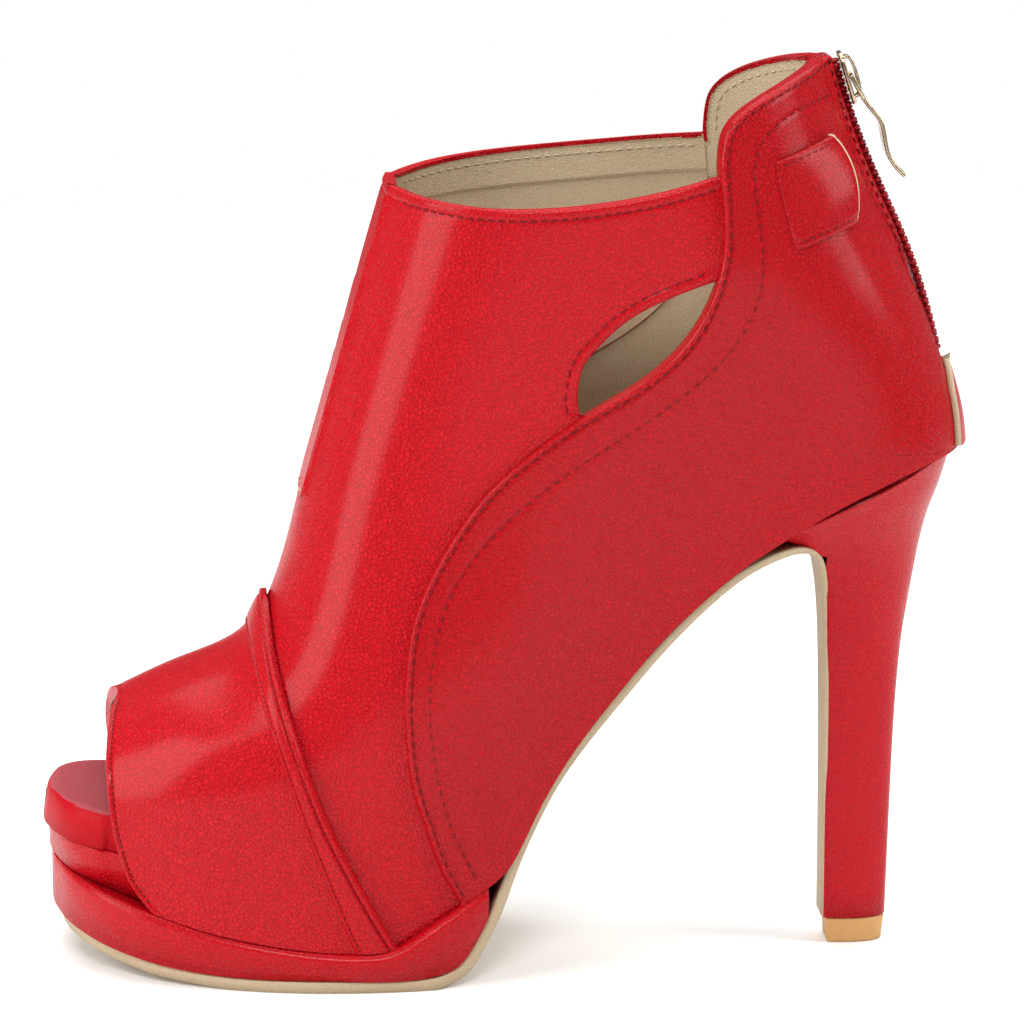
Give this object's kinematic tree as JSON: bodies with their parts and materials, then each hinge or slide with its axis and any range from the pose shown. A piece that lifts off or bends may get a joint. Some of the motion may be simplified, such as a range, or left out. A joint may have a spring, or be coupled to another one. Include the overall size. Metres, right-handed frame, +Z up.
{
  "type": "peep-toe platform stiletto ankle boot",
  "caption": "Left peep-toe ankle boot in red leather on a platform and a high stiletto heel, with a cut-out in its outer side and a back zip whose pull swings.",
  "frame": {"origin": "on the floor, at the middle of the outsole's flat spot under the ball of the foot", "axes": "+X towards the heel, toe at -X; +Z up; the outer (lateral) side of the foot at -Y and the inner side at +Y"},
  "size_m": [0.2149, 0.0792, 0.2115],
  "materials": {
    "upper_leather": "semi-gloss fine-grained red leather",
    "platform_leather": "semi-gloss red leather over the platform",
    "insole": "dull red leather on the padded insole",
    "outsole": "matte beige sole sheet",
    "top_piece": "smooth tan moulded heel tip",
    "zip_tape": "woven red tape with red coil teeth",
    "zip_metal": "polished pale gold plating"
  },
  "bodies": {
    "shoe": {"outsole": "outsole", "platform_rim": "platform_leather", "platform_middle": "platform_leather", "insole": "insole", "upper": "upper_leather", "heel": "upper_leather", "top_piece": "top_piece", "quarters": "upper_leather", "toe_cap": "upper_leather", "toe_band": "upper_leather", "keeper_outer": "upper_leather", "keeper_inner": "upper_leather", "counter_tab": "upper_leather", "zip_tape": "zip_tape", "zip_chain": "zip_tape", "zip_slider": "zip_metal"},
    "pull": {"zip_pull": "zip_metal"}
  },
  "joints": [
    {"name": "pull_swing", "type": "hinge", "parent": "shoe", "child": "pull", "pos_m": [0.11311, 0, 0.20547], "axis": [0, -1, 0], "range_deg": [-6, 148]}
  ]
}
